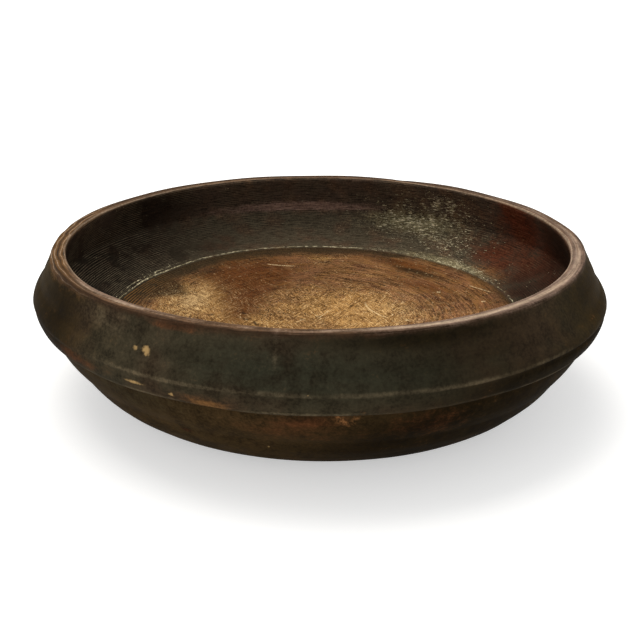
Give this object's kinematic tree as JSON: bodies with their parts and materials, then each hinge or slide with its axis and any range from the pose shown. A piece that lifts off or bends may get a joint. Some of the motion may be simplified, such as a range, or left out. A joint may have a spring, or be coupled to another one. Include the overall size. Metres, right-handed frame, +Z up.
{
  "type": "turned wooden bowl",
  "caption": "Wide shallow turned wooden bowl with an incurved lip, a sloping neck, a stepped swelling shoulder and a flat foot ring.",
  "frame": {"origin": "middle of the foot, on the plane that the bowl stands on", "axes": "+Z up through the mouth; the picture looks along +Y and downwards, with +X to its right"},
  "size_m": [0.3508, 0.3496, 0.091],
  "materials": {
    "aged_wood": "dark worn paint and patina over turned wood, satin outside, rubbed bare on the lip and the floor"
  },
  "bodies": {
    "root": {"bowl": "aged_wood"}
  },
  "joints": []
}
